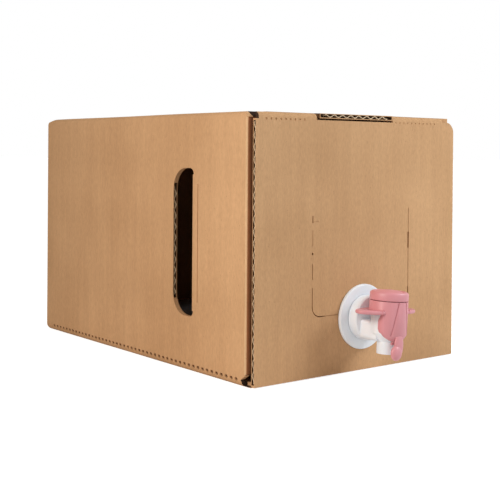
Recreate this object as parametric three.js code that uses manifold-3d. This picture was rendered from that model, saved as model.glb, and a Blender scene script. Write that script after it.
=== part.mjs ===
// Bag in box carton: a folded corrugated carton lying in its serving position, with a slack film
// bag inside and a press tap clipped through the front face.
// Millimetres, +Z up. The origin is the middle of the base. The tap looks towards -Y.

import * as THREE from 'three';
import { mergeVertices } from 'three/addons/utils/BufferGeometryUtils.js';
import Module from 'manifold-3d';

const wasm = await Module();
wasm.setup();

// Driving dimensions of the carton
const carton_width = 165;
const carton_depth = 238;
const carton_height = 150;
const board = 2.8;
const fold_radius = 4;
const layer_gap = 0.3;

// Corrugated medium that shows at cut edges
const flute_pitch = 6.5;
const flute_depth = 3.5;
const liner = 0.45;
const medium = 0.75;

// Front closure
const front_flap_inset = 3.2;
const front_flap_lift = 0.6;
const shoulder_width = 8;
const shoulder_height = 15;
const tuck_flap_depth = 46;
const tuck_flap_left = 76;
const tuck_flap_right = 70.5;
const side_flap_width = 36;
const side_flap_inset = 3.6;
const base_flap_height = 62;
const base_flap_left = 42;
const base_flap_right = 78;
const corner_gap_depth = 7;
const corner_gap_height = 9;
const lock_tongue_left = 35.3;
const lock_tongue_right = 25.4;
const lock_tongue_bevel = 8;
const lock_slot_drop = 1.1;

// Perforated window above the tap
const window_left = -38;
const window_right = 40;
const window_bottom = 34.7;
const window_top = 92;
const window_radius = 6;
const perforation_width = 0.7;
const perforation_depth = 1.2;

// Hand holes in the two long walls
const hand_hole_front = 49.1;
const hand_hole_length = 24.9;
const hand_hole_bottom = 32.1;
const hand_hole_top = 118.2;
const hand_hole_radius = 13;
const hand_hole_hinge_radius = 8.5;
const tongue_fold_radius = 5.2;
const tongue_reach = 17;

// Crash-lock back
const back_step = 9;
const back_slit = 0.5;
const back_lap = 52;

// Tap and gland
const tap_x = 0.8;
const tap_height = 32;
const tap_turn = 4;
const flange_radius = 19;
const flange_thickness = 1.9;
const gland_bore = 11.9;
const gland_neck = 15.4;
const gland_weld_radius = 25;
const gland_weld_thickness = 1.2;
const gland_tail = 5;
const hole_clearance = 0.4;
const seat_gap = 0.3;
const collar_radius = 13;
const collar_length = 6.1;
const duct_half_width = 8.8;
const duct_top = -0.6;
const duct_bottom = -11.4;
const duct_wall = 1.7;
const barrel_offset = 21.2;
const barrel_radius = 9.8;
const barrel_wall = 1.6;
const barrel_top = 6.8;
const barrel_shoulder = -6.6;
const nozzle_radius = 5.5;
const nozzle_wall = 1.3;
const nozzle_top = -11.4;
const nozzle_end = -18.4;
const valve_seat_radius = 2.8;
const valve_seat_level = -10.4;
const valve_seat_thickness = 1.4;
const plug_thickness = 1.7;

// Red top of the tap
const sleeve_wall = 1;
const sleeve_bottom = 4.2;
const sleeve_top = 11.6;
const ledge_thickness = 1.2;
const wing_reach = 25.2;
const wing_front = 8;
const wing_back = 2;
const wing_thickness = 2.4;
const guard_half_width = 9.9;
const tear_line_top = 2.1;
const tear_line_bottom = 6.3;
const tear_line_width = 0.6;
const tear_line_depth = 0.45;
const pull_tab_half_width = 4.3;
const pull_tab_level = -16.2;
const cap_height = 5.2;
const cap_lip = 2.5;
const cap_round = 1.6;
const dome_rise = 1.9;
const stem_radius = 1.4;

// Slack film bag
const bag_side_gap = 6;
const bag_height = 20;
const bag_mouth_height = 59;
const bag_back_gap = 7;

// Levels and faces worked out from the driving dimensions
const half_width = carton_width / 2;
const front = -carton_depth / 2;
const back = carton_depth / 2;
const inner_half_width = half_width - board;
const inner_layer = front + board + layer_gap;
const tuck_top = carton_height - board - layer_gap;
const sleeve_radius = barrel_radius + seat_gap + sleeve_wall;
const sleeve_bore = barrel_radius + seat_gap;
const clamped_board = 2 * board + layer_gap;

// Materials
const kraft = new THREE.MeshStandardMaterial({ color: 0xc08a58, roughness: 0.9, metalness: 0 });
const white_plastic = new THREE.MeshStandardMaterial({ color: 0xe9e9ea, roughness: 0.45, metalness: 0 });
const natural_plastic = new THREE.MeshStandardMaterial({ color: 0xe2e3e4, roughness: 0.5, metalness: 0 });
const red_plastic = new THREE.MeshStandardMaterial({ color: 0xc9666c, roughness: 0.4, metalness: 0 });
const valve_rubber = new THREE.MeshStandardMaterial({ color: 0xd8d4cc, roughness: 0.7, metalness: 0 });
const film = new THREE.MeshStandardMaterial({ color: 0xb9bec4, roughness: 0.35, metalness: 0.3 });

// Signed volume tells whether a closed surface has its faces outwards.
function signedVolume(position, index) {
  const a = new THREE.Vector3();
  const b = new THREE.Vector3();
  const c = new THREE.Vector3();
  let volume = 0;
  for (let i = 0; i < index.length; i += 3) {
    a.fromBufferAttribute(position, index[i]);
    b.fromBufferAttribute(position, index[i + 1]);
    c.fromBufferAttribute(position, index[i + 2]);
    volume += a.dot(b.cross(c)) / 6;
  }
  return volume;
}

// A closed three.js geometry becomes a solid that can be joined and cut.
function solidOf(geometry) {
  const bare = geometry.clone();
  bare.deleteAttribute('normal');
  bare.deleteAttribute('uv');
  const merged = mergeVertices(bare, 1e-4);
  const triangles = Array.from(merged.index.array);
  if (signedVolume(merged.attributes.position, triangles) < 0) {
    for (let i = 0; i < triangles.length; i += 3) {
      [triangles[i + 1], triangles[i + 2]] = [triangles[i + 2], triangles[i + 1]];
    }
  }
  return new wasm.Manifold(new wasm.Mesh({
    numProp: 3,
    vertProperties: new Float32Array(merged.attributes.position.array),
    triVerts: new Uint32Array(triangles),
  }));
}

function meshOf(name, solid, material) {
  const result = solid.getMesh();
  const geometry = new THREE.BufferGeometry();
  geometry.setAttribute('position', new THREE.BufferAttribute(new Float32Array(result.vertProperties), 3));
  geometry.setIndex(new THREE.BufferAttribute(new Uint32Array(result.triVerts), 1));
  geometry.computeVertexNormals();
  const mesh = new THREE.Mesh(geometry, material);
  mesh.name = name;
  return mesh;
}

function joined(solids) {
  return solids.reduce((sum, next) => sum.add(next));
}

function cutBy(solid, cutters) {
  return cutters.length ? solid.subtract(joined(cutters)) : solid;
}

// A block between two corners.
function block(x0, x1, y0, y1, z0, z1) {
  const box = new THREE.BoxGeometry(x1 - x0, y1 - y0, z1 - z0);
  box.translate((x0 + x1) / 2, (y0 + y1) / 2, (z0 + z1) / 2);
  return solidOf(box);
}

// An outline drawn in two directions and pushed along the third one.
function pushed(shape, across, up, along, start, length, curve_steps = 5) {
  const geometry = new THREE.ExtrudeGeometry(shape, { depth: length, bevelEnabled: false, curveSegments: curve_steps });
  const basis = new THREE.Matrix4().makeBasis(across, up, along);
  geometry.applyMatrix4(basis.setPosition(along.clone().multiplyScalar(start)));
  return solidOf(geometry);
}

const X = new THREE.Vector3(1, 0, 0);
const Y = new THREE.Vector3(0, 1, 0);
const Z = new THREE.Vector3(0, 0, 1);

// Outline in X and Z, pushed along Y; in Y and Z, along X; in X and Y, along Z.
const alongY = (shape, y0, y1, steps) => pushed(shape, X, Z, Y, y0, y1 - y0, steps);
const alongX = (shape, x0, x1, steps) => pushed(shape, Y, Z, X, x0, x1 - x0, steps);
const alongZ = (shape, z0, z1, steps) => pushed(shape, X, Y, Z, z0, z1 - z0, steps);

function polygon(points) {
  return new THREE.Shape(points.map(([x, y]) => new THREE.Vector2(x, y)));
}

// A rectangle with its own radius at each corner: low left, low right, high right, high left.
function roundedRectangle(x0, x1, y0, y1, radii) {
  const [a, b, c, d] = radii;
  const shape = new THREE.Shape();
  shape.moveTo(x0 + a, y0);
  shape.lineTo(x1 - b, y0);
  if (b) shape.absarc(x1 - b, y0 + b, b, -Math.PI / 2, 0, false);
  shape.lineTo(x1, y1 - c);
  if (c) shape.absarc(x1 - c, y1 - c, c, 0, Math.PI / 2, false);
  shape.lineTo(x0 + d, y1);
  if (d) shape.absarc(x0 + d, y1 - d, d, Math.PI / 2, Math.PI, false);
  shape.lineTo(x0, y0 + a);
  if (a) shape.absarc(x0 + a, y0 + a, a, Math.PI, 1.5 * Math.PI, false);
  return shape;
}

// A profile of radius and height turned about the Z axis, or about the Y axis with height towards +Y.
function turned(profile, segments = 40) {
  const geometry = new THREE.LatheGeometry(profile.map(([r, h]) => new THREE.Vector2(r, h)), segments);
  geometry.rotateX(Math.PI / 2);
  return solidOf(geometry);
}

function turnedAboutY(profile, segments = 40) {
  return solidOf(new THREE.LatheGeometry(profile.map(([r, h]) => new THREE.Vector2(r, h)), segments));
}

// A closed ring profile between two radii and two heights.
function ringProfile(inner, outer, low, high) {
  return [[inner, low], [outer, low], [outer, high], [inner, high], [inner, low]];
}

function diskProfile(radius, low, high) {
  return [[0, low], [radius, low], [radius, high], [0, high]];
}

// The hollows between the liners and the wavy medium, sunk into a cut edge. The edge runs from
// start over length in the direction run; across points through the board; inwards goes into it.
function fluteHollows(start, length, run, across, inwards) {
  const half_pitch = flute_pitch / 2;
  const count = Math.floor((length - medium) / half_pitch);
  const wide = (half_pitch - medium) * 0.76;
  const narrow = half_pitch - medium - wide;
  const hollows = [];
  for (let i = 0; i < count; i += 1) {
    const side = i % 2 === 0 ? 1 : -1;
    const near = side > 0 ? liner : board - liner;
    const far = side > 0 ? board - liner : liner;
    const points = [[-wide, near], [wide, near], [narrow, far], [-narrow, far]];
    const shape = polygon(side > 0 ? points : points.reverse());
    const geometry = new THREE.ExtrudeGeometry(shape, { depth: flute_depth + 1, bevelEnabled: false });
    geometry.translate(0, 0, -1);
    const middle = start.clone().addScaledVector(run, (i + 0.5) * half_pitch + (length - count * half_pitch) / 2);
    geometry.applyMatrix4(new THREE.Matrix4().makeBasis(run, across, inwards).setPosition(middle));
    hollows.push(solidOf(geometry));
  }
  return hollows;
}

// Four walls: a tube of board with rounded folds, open at both ends.
function wallTube() {
  const outer = roundedRectangle(-half_width, half_width, 0, carton_height, Array(4).fill(fold_radius));
  const inner_radius = fold_radius - board;
  const inner = roundedRectangle(-inner_half_width, inner_half_width, board, carton_height - board,
    Array(4).fill(inner_radius));
  outer.holes.push(new THREE.Path(inner.getPoints(4).reverse()));
  return alongY(outer, inner_layer, back, 4);
}

// Outer front flap, hinged along the right edge, with a shoulder rounded off at its free top corner.
function frontFlap() {
  const left = -half_width + front_flap_inset;
  const plan = new THREE.Shape();
  plan.moveTo(left, front);
  plan.lineTo(half_width - fold_radius, front);
  plan.absarc(half_width - fold_radius, front + fold_radius, fold_radius, -Math.PI / 2, 0, false);
  plan.lineTo(half_width, inner_layer + board);
  plan.lineTo(inner_half_width, inner_layer + board);
  plan.lineTo(inner_half_width, front + board);
  plan.lineTo(left, front + board);
  const plate = alongZ(plan, front_flap_lift, carton_height - layer_gap, 4);

  const face = new THREE.Shape();
  face.moveTo(-half_width - 1, -1);
  face.lineTo(half_width - fold_radius, -1);
  face.lineTo(half_width + 1, fold_radius);
  face.lineTo(half_width + 1, carton_height - shoulder_height);
  face.lineTo(half_width, carton_height - shoulder_height);
  face.quadraticCurveTo(half_width, carton_height - shoulder_height / 2,
    half_width - shoulder_width, carton_height - board);
  face.lineTo(tuck_flap_right, carton_height - board);
  face.lineTo(tuck_flap_right, carton_height + 1);
  face.lineTo(-half_width - 1, carton_height + 1);
  const trimmed = plate.intersect(alongY(face, front - 1, inner_layer + board + 1, 6));

  // The fold into the tuck flap is rounded along its front.
  const fold = new THREE.Shape();
  const top = carton_height - layer_gap;
  fold.moveTo(front - 1, top - fold_radius);
  fold.lineTo(front, top - fold_radius);
  fold.absarc(front + fold_radius, top - fold_radius, fold_radius, Math.PI, Math.PI / 2, true);
  fold.lineTo(front + fold_radius, top + 1);
  fold.lineTo(front - 1, top + 1);
  const tuck = alongZ(roundedRectangle(-tuck_flap_left, tuck_flap_right, front + board - 0.1,
    front + board + tuck_flap_depth, [0, 0, 10, 10]), tuck_top - board, tuck_top);
  return cutBy(trimmed, [alongX(fold, -half_width - 1, half_width + 1)]).add(tuck);
}

// Side dust flap behind the front flap, folded in from the left wall.
function sideFlap() {
  const outer = front + side_flap_inset;
  const plan = new THREE.Shape();
  plan.moveTo(-half_width + side_flap_width, outer);
  plan.lineTo(-half_width + side_flap_width, outer + board);
  plan.lineTo(-inner_half_width, outer + board);
  plan.lineTo(-inner_half_width, outer + 2 * board);
  plan.lineTo(-half_width, outer + 2 * board);
  plan.lineTo(-half_width, outer + fold_radius);
  plan.absarc(-half_width + fold_radius, outer + fold_radius, fold_radius, Math.PI, 1.5 * Math.PI, false);
  return alongZ(plan, corner_gap_height, tuck_top - board - layer_gap - 1, 4);
}

// Base flap behind the front flap, folded up from the base, with a round notch that seats the gland.
function baseFlap() {
  const face = new THREE.Shape();
  face.moveTo(-base_flap_left, 0.5);
  face.lineTo(base_flap_right, 0.5);
  face.lineTo(base_flap_right, base_flap_height - 16);
  face.lineTo(base_flap_right - 6, base_flap_height);
  face.lineTo(-base_flap_left, base_flap_height);
  const notch = new THREE.Shape();
  const notch_radius = gland_neck + hole_clearance;
  notch.moveTo(tap_x + notch_radius, base_flap_height + 1);
  notch.lineTo(tap_x - notch_radius, base_flap_height + 1);
  notch.lineTo(tap_x - notch_radius, tap_height);
  notch.absarc(tap_x, tap_height, notch_radius, Math.PI, 2 * Math.PI, false);
  const plate = alongY(face, inner_layer, inner_layer + board);
  return plate.subtract(alongY(notch, inner_layer - 1, inner_layer + board + 1, 16));
}

// Hand hole cut through a long wall, and the tongue folded inwards from its front side.
function handHole(side) {
  const y0 = front + hand_hole_front;
  const y1 = y0 + hand_hole_length;
  const outline = roundedRectangle(y0, y1, hand_hole_bottom, hand_hole_top,
    [hand_hole_hinge_radius, hand_hole_radius, hand_hole_radius, hand_hole_hinge_radius]);
  const x0 = side < 0 ? -half_width - 1 : inner_half_width - 1;
  const hole = alongX(outline, x0, x0 + board + 2, 6);

  const low = hand_hole_bottom + hand_hole_hinge_radius + 1.4;
  const high = hand_hole_top - hand_hole_hinge_radius - 1.4;
  const bend_x = half_width - tongue_fold_radius;
  const inner_radius = tongue_fold_radius - board;
  const free_end = bend_x - tongue_reach;
  const plan = new THREE.Shape();
  plan.moveTo(half_width, y0 - 0.1);
  plan.lineTo(half_width, y0);
  plan.absarc(bend_x, y0, tongue_fold_radius, 0, Math.PI / 2, false);
  plan.lineTo(free_end, y0 + tongue_fold_radius);
  plan.lineTo(free_end, y0 + inner_radius);
  plan.lineTo(bend_x, y0 + inner_radius);
  plan.absarc(bend_x, y0, inner_radius, Math.PI / 2, 0, true);
  plan.lineTo(inner_half_width, y0 - 0.1);
  const rounded = alongY(roundedRectangle(free_end, half_width + 1, low, high,
    [hand_hole_radius, 0, 0, hand_hole_radius]), y0 - 1, y0 + tongue_fold_radius + 1, 6);
  const tongue = alongZ(plan, low, high, 5).intersect(rounded);

  const edge_start = hand_hole_bottom + hand_hole_radius;
  const edge_length = hand_hole_top - hand_hole_bottom - 2 * hand_hole_radius;
  const hollows = fluteHollows(new THREE.Vector3(-half_width, y1, edge_start), edge_length, Z, X, Y);
  const mirrored = (solid) => (side < 0 ? solid.mirror([1, 0, 0]) : solid);
  return {
    tongue: mirrored(tongue),
    cuts: [hole, ...hollows.map((hollow) => (side < 0 ? hollow : hollow.mirror([1, 0, 0])))],
  };
}

// Tongue of the top wall that locks the fold of the front flap.
function lockTongue() {
  const plan = polygon([
    [-lock_tongue_left, inner_layer + 1],
    [-lock_tongue_left, front + 1.6],
    [-lock_tongue_left + lock_tongue_bevel, front],
    [lock_tongue_right - 1.5, front],
    [lock_tongue_right, front + 1.5],
    [lock_tongue_right, inner_layer + 1],
  ]);
  return alongZ(plan, carton_height - board, carton_height);
}

// Back end: two broad panels that meet in a stepped line, glued to two flaps inside.
function backPanels() {
  const middle = carton_height / 2;
  const outline = roundedRectangle(-half_width, half_width, 0, carton_height, Array(4).fill(fold_radius));
  const outer = alongY(outline, back - board, back, 4);
  const line = polygon([
    [-half_width - 1, middle - back_step], [-half_width / 3, middle - back_step],
    [half_width / 3, middle + back_step], [half_width + 1, middle + back_step],
    [half_width + 1, middle + back_step + back_slit], [half_width / 3, middle + back_step + back_slit],
    [-half_width / 3, middle - back_step + back_slit], [-half_width - 1, middle - back_step + back_slit],
  ]);
  const slit = alongY(line, back - board, back + 1);
  const inner = [-1, 1].map((side) => {
    const near = side * (half_width - 1);
    const far = side * (half_width - back_lap);
    const lap = polygon([[near, 1], [far, 12], [far, carton_height - 12], [near, carton_height - 1]]);
    return alongY(lap, back - 2 * board, back - board);
  });
  const web = block(-half_width + back_lap - 1, half_width - back_lap + 1, back - 2 * board, back - board,
    middle - 3 * back_step, middle + 3 * back_step);
  return joined([outer.subtract(slit), ...inner, web]);
}

// Lines of perforation around the window above the tap, sunk into the front flap.
function windowCuts() {
  const half_line = perforation_width / 2;
  const y0 = front - 1;
  const y1 = front + perforation_depth;
  const low = window_bottom + window_radius;
  const upright = (x, z0, z1, depth = y1) => block(x - half_line, x + half_line, y0, depth, z0, z1);
  const through = front + board + 1;
  const corner = new THREE.Shape();
  corner.absarc(window_left + window_radius, low, window_radius + half_line, Math.PI, 1.5 * Math.PI, false);
  corner.absarc(window_left + window_radius, low, window_radius - half_line, 1.5 * Math.PI, Math.PI, true);
  return [
    upright(window_left, 88, window_top),
    upright(window_left, 70, 71.4),
    upright(window_left, 55.9, 64.9),
    upright(window_left, low, 51.4),
    alongY(corner, y0, y1, 5),
    block(window_left + window_radius - 0.1, tap_x, y0, y1, window_bottom - half_line, window_bottom + half_line),
    block(window_left, window_left + window_radius, y0, y1, 88.5, 88.5 + perforation_width),
    upright(window_right, low, window_top + 2),
    upright(window_right, 70.2, 79.9, through),
    upright(window_right, low + 1, low + 6, through),
  ];
}

function cartonSolid() {
  const hand_holes = [handHole(-1), handHole(1)];
  const slot_low = tuck_top - board - 0.1;
  const slot = block(-lock_tongue_left - layer_gap, lock_tongue_right + layer_gap, front - 1, inner_layer,
    carton_height - board - lock_slot_drop, carton_height + 1);
  const slot_behind = block(-lock_tongue_left + 3, lock_tongue_right - 3, front + board, front + board + 5,
    slot_low, tuck_top + 0.1);
  const gland_hole = turnedAboutY(diskProfile(gland_neck + hole_clearance, front - 1, front + board + 0.1), 48)
    .translate([tap_x, 0, tap_height]);

  // The walls stop short of the front at their rounded top corners, and the left wall at its fold.
  const corner = new THREE.Shape();
  const corner_back = inner_layer + corner_gap_depth;
  corner.moveTo(front - 1, carton_height + 1);
  corner.lineTo(front - 1, carton_height - corner_gap_height);
  corner.lineTo(inner_layer + 0.4, carton_height - corner_gap_height);
  corner.quadraticCurveTo(inner_layer + 1.2, carton_height - 2, corner_back, carton_height + 1);
  const left_top = alongX(corner, -half_width - 1, -half_width + fold_radius + 0.5, 5);
  const right_top = alongX(corner, half_width - fold_radius - 0.5, half_width + 1, 5);
  const left_bottom = block(-half_width - 1, -inner_half_width + 1.2, front - 1, inner_layer + 2.6,
    board + 0.4, corner_gap_height + 0.1);

  const walls = cutBy(wallTube(), [left_top, right_top, left_bottom]);
  const flap = cutBy(frontFlap(), [
    slot,
    slot_behind,
    gland_hole,
    ...windowCuts(),
    ...fluteHollows(new THREE.Vector3(-half_width + front_flap_inset, front, front_flap_lift + 1),
      carton_height - fold_radius - front_flap_lift - 3, Z, Y, X),
  ]);
  const tongue_hollows = fluteHollows(new THREE.Vector3(-lock_tongue_left + lock_tongue_bevel, front,
    carton_height - board), lock_tongue_left + lock_tongue_right - lock_tongue_bevel - 2, X, Z, Y);
  const shell = joined([
    walls,
    sideFlap(),
    baseFlap(),
    backPanels(),
    cutBy(lockTongue(), tongue_hollows),
    hand_holes[0].tongue,
    hand_holes[1].tongue,
  ]);
  const hollow_cuts = hand_holes.flatMap((hole) => hole.cuts);
  const tongues = joined([hand_holes[0].tongue, hand_holes[1].tongue]);
  return cutBy(shell, hollow_cuts).add(tongues).add(flap);
}

// Gland welded to the bag: the board is clipped between its wide front flange and the ring behind.
function glandSolid() {
  const face = -seat_gap;
  const rear = clamped_board + seat_gap;
  const end = rear + gland_tail;
  const bead = gland_bore + 0.6;
  const profile = [
    [gland_bore, face - flange_thickness],
    [flange_radius - 0.5, face - flange_thickness],
    [flange_radius, face - flange_thickness + 0.5],
    [flange_radius, face],
    [gland_neck, face],
    [gland_neck, rear],
    [gland_neck + 3, rear],
    [gland_neck + 3, rear + 1.5],
    [gland_neck, rear + 1.5],
    [gland_neck, end],
    [gland_weld_radius, end],
    [gland_weld_radius, end + gland_weld_thickness],
    [gland_bore, end + gland_weld_thickness],
    [gland_bore, rear + 2.6],
    [bead, rear + 2],
    [bead, rear + 1],
    [gland_bore, rear + 0.4],
    [gland_bore, face - flange_thickness],
  ];
  return turnedAboutY(profile, 48);
}

// The white tap body: spigot, collar, duct, valve barrel, valve seat and nozzle in one moulding.
function tapBodySolid() {
  const collar_back = -flange_thickness - 2 * seat_gap;
  const collar_front = collar_back - collar_length;
  const spigot_end = clamped_board + gland_tail;
  const spigot = gland_bore - seat_gap;
  const bead_level = clamped_board + seat_gap + 1.5;
  const inlet = turnedAboutY([
    [0, collar_front],
    [collar_radius - 0.8, collar_front],
    [collar_radius, collar_front + 0.8],
    [collar_radius, collar_back],
    [spigot, collar_back],
    [spigot, bead_level - 0.9],
    [spigot + 0.45, bead_level - 0.3],
    [spigot + 0.45, bead_level + 0.3],
    [spigot, bead_level + 0.9],
    [spigot, spigot_end],
    [0, spigot_end],
  ], 40);
  const duct = alongY(roundedRectangle(-duct_half_width, duct_half_width, duct_bottom, duct_top,
    [2.5, 2.5, 1.5, 1.5]), -barrel_offset, collar_front + 0.5, 3);
  const barrel = turned([
    [0, nozzle_end],
    [nozzle_radius, nozzle_end],
    [nozzle_radius, nozzle_top],
    [barrel_radius - 1.7, barrel_shoulder - 2.4],
    [barrel_radius, barrel_shoulder],
    [barrel_radius, barrel_top],
    [0, barrel_top],
  ], 40).translate([0, -barrel_offset, 0]);

  const bore = barrel_radius - barrel_wall;
  const seat_top = valve_seat_level + valve_seat_thickness;
  const floor = barrel_shoulder + 1;
  const chamber = turned([[0, seat_top], [valve_seat_radius + 0.6, seat_top], [bore, floor], [bore, barrel_top + 1],
    [0, barrel_top + 1]], 32).translate([0, -barrel_offset, 0]);
  const seat = turned(diskProfile(valve_seat_radius, valve_seat_level - 0.1, seat_top + 0.1), 24)
    .translate([0, -barrel_offset, 0]);
  const outlet = turned(diskProfile(nozzle_radius - nozzle_wall, nozzle_end - 1, valve_seat_level), 28)
    .translate([0, -barrel_offset, 0]);
  const inlet_bore = turnedAboutY(diskProfile(spigot - duct_wall, collar_front + duct_wall, spigot_end + 1), 32);
  const duct_bore = alongY(roundedRectangle(-duct_half_width + duct_wall, duct_half_width - duct_wall,
    floor, duct_top - duct_wall, Array(4).fill(1)), -barrel_offset, collar_front + duct_wall + 0.1, 2);
  return cutBy(joined([inlet, duct, barrel]), [chamber, seat, outlet, inlet_bore, duct_bore]);
}

// The red grip: a sleeve over the barrel with two finger wings, a front guard and a pull tab.
function tapGripSolid() {
  const ledge = barrel_top + seat_gap;
  const sleeve = turned([
    [sleeve_bore, sleeve_bottom],
    [sleeve_radius, sleeve_bottom],
    [sleeve_radius, sleeve_top],
    [barrel_radius, sleeve_top],
    [barrel_radius, ledge + ledge_thickness],
    [barrel_radius - barrel_wall, ledge + ledge_thickness],
    [barrel_radius - barrel_wall, ledge],
    [sleeve_bore, ledge],
    [sleeve_bore, sleeve_bottom],
  ], 44);

  const wing_shape = new THREE.Shape();
  wing_shape.moveTo(-sleeve_radius + 0.4, wing_back);
  wing_shape.lineTo(-wing_reach + 2.5, wing_back);
  wing_shape.quadraticCurveTo(-wing_reach, wing_back - 0.5, -wing_reach, -2.5);
  wing_shape.quadraticCurveTo(-wing_reach, -wing_front, -wing_reach + 6.5, -wing_front);
  wing_shape.quadraticCurveTo(-sleeve_radius - 1, -wing_front, -sleeve_radius + 2.6, -4.6);
  const wing_low = sleeve_bottom + 0.2;
  const left_wing = alongZ(wing_shape, wing_low, wing_low + wing_thickness, 6);
  const wings = left_wing.add(left_wing.mirror([1, 0, 0])).subtract(
    turned(diskProfile(sleeve_bore, wing_low - 1, wing_low + wing_thickness + 1), 44));

  // The guard follows the barrel down to the nozzle, and is cut to a shield that narrows to a stem.
  const gap = seat_gap + 0.15;
  const shell = turned([
    [barrel_radius + seat_gap, sleeve_bottom + 1],
    [barrel_radius + seat_gap, barrel_shoulder],
    [barrel_radius - 1.7 + gap, barrel_shoulder - 2.4 - 0.2],
    [nozzle_radius + gap, nozzle_top - 0.2],
    [nozzle_radius + gap, pull_tab_level],
    [nozzle_radius + gap + sleeve_wall, pull_tab_level],
    [nozzle_radius + gap + sleeve_wall, nozzle_top - 0.4],
    [barrel_radius - 1.7 + gap + sleeve_wall, barrel_shoulder - 2.9],
    [sleeve_radius, barrel_shoulder - 0.4],
    [sleeve_radius, sleeve_bottom + 1],
    [barrel_radius + seat_gap, sleeve_bottom + 1],
  ], 44);
  const shield = new THREE.Shape();
  const brim = sleeve_bottom + 2;
  shield.moveTo(-guard_half_width + 1, brim);
  shield.quadraticCurveTo(-guard_half_width - 0.6, brim - 5, -guard_half_width + 0.2, barrel_shoulder + 1);
  shield.quadraticCurveTo(-guard_half_width + 2.2, barrel_shoulder - 3, -2.6, barrel_shoulder - 4);
  shield.lineTo(-2.2, pull_tab_level);
  shield.lineTo(2.2, pull_tab_level);
  shield.lineTo(2.6, barrel_shoulder - 4);
  shield.quadraticCurveTo(guard_half_width - 2.2, barrel_shoulder - 3, guard_half_width - 0.2, barrel_shoulder + 1);
  shield.quadraticCurveTo(guard_half_width + 0.6, brim - 5, guard_half_width - 1, brim);
  const guard = shell.intersect(alongY(shield, -sleeve_radius - 1, -2, 7));

  const tab = new THREE.SphereGeometry(1, 20, 12);
  tab.scale(pull_tab_half_width, 1.7, 2.9);
  tab.translate(0, -nozzle_radius - gap - 1.8, pull_tab_level);
  const grip = joined([sleeve, wings, guard, solidOf(tab)]);

  // Two shallow tear lines run down the front and spread towards the pull tab.
  const skin = turned(ringProfile(sleeve_radius - tear_line_depth, sleeve_radius + 1, barrel_shoulder - 0.5,
    sleeve_top + 1), 44);
  const low = barrel_shoulder - 1.9;
  const line = polygon([
    [tear_line_top, sleeve_top + 2], [tear_line_bottom, low],
    [tear_line_bottom + tear_line_width, low], [tear_line_top + tear_line_width, sleeve_top + 2],
  ]);
  const groove = alongY(line, -sleeve_radius - 2, -5).intersect(skin);
  return cutBy(grip, [groove, groove.mirror([1, 0, 0])]).translate([0, -barrel_offset, 0]);
}

// Clamping ring on top of the grip, with a lip that keeps the button in.
function capRingSolid() {
  const low = sleeve_top + seat_gap;
  const high = low + cap_height;
  const lip_level = low + cap_lip;
  const lip = barrel_radius - barrel_wall + seat_gap;
  return turned([
    [barrel_radius, low],
    [sleeve_radius - 0.3, low],
    [sleeve_radius, low + 0.4],
    [sleeve_radius, high - cap_round],
    [sleeve_radius - cap_round * 0.3, high - cap_round * 0.35],
    [sleeve_radius - cap_round, high],
    [lip + 0.4, high],
    [lip, high - 0.4],
    [lip, lip_level],
    [barrel_radius, lip_level],
    [barrel_radius, low],
  ], 44).translate([0, -barrel_offset, 0]);
}

// Domed press button: a flange under the ring's lip, and a socket for the valve stem.
function buttonSolid() {
  const low = sleeve_top + 2 * seat_gap;
  const lip_level = sleeve_top + seat_gap + cap_lip;
  const top = sleeve_top + seat_gap + cap_height;
  const radius = barrel_radius - barrel_wall;
  const flange = barrel_radius - seat_gap;
  const crown = [];
  for (let i = 0; i <= 5; i += 1) {
    const share = i / 5;
    crown.push([radius * Math.cos(share * Math.PI / 2), top - 1.1 + dome_rise * Math.sin(share * Math.PI / 2)]);
  }
  crown[crown.length - 1][0] = 0;
  const socket_top = low + 3;
  return turned([
    [stem_radius + seat_gap, socket_top],
    [stem_radius + seat_gap, low],
    [stem_radius + 1.5, low],
    [stem_radius + 1.5, low + 1.4],
    [radius - 1.6, low + 1.4],
    [radius - 1.6, low],
    [flange, low],
    [flange, lip_level - seat_gap],
    [radius, lip_level - seat_gap],
    ...crown,
    [0, socket_top],
    [stem_radius + seat_gap, socket_top],
  ], 44).translate([0, -barrel_offset, 0]);
}

// Valve stem from the button's socket down through the seat, with a barb that carries the plug.
function stemSolid() {
  const top = sleeve_top + 2 * seat_gap + 3 - seat_gap;
  const plug_low = valve_seat_level - seat_gap - plug_thickness;
  return turned([
    [0, plug_low - seat_gap - 1.2],
    [stem_radius, plug_low - seat_gap - 1.2],
    [stem_radius + 0.8, plug_low - seat_gap - 0.4],
    [stem_radius + 0.8, plug_low - seat_gap],
    [stem_radius, plug_low - seat_gap],
    [stem_radius, top],
    [0, top],
  ], 20).translate([0, -barrel_offset, 0]);
}

// Valve plug that closes the seat from below.
function plugSolid() {
  const high = valve_seat_level - seat_gap;
  const radius = nozzle_radius - nozzle_wall - 0.4;
  return turned([
    [stem_radius + seat_gap, high - plug_thickness],
    [radius - 0.4, high - plug_thickness],
    [radius, high - plug_thickness + 0.5],
    [radius - 0.3, high],
    [stem_radius + seat_gap, high],
    [stem_radius + seat_gap, high - plug_thickness],
  ], 28).translate([0, -barrel_offset, 0]);
}

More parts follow.
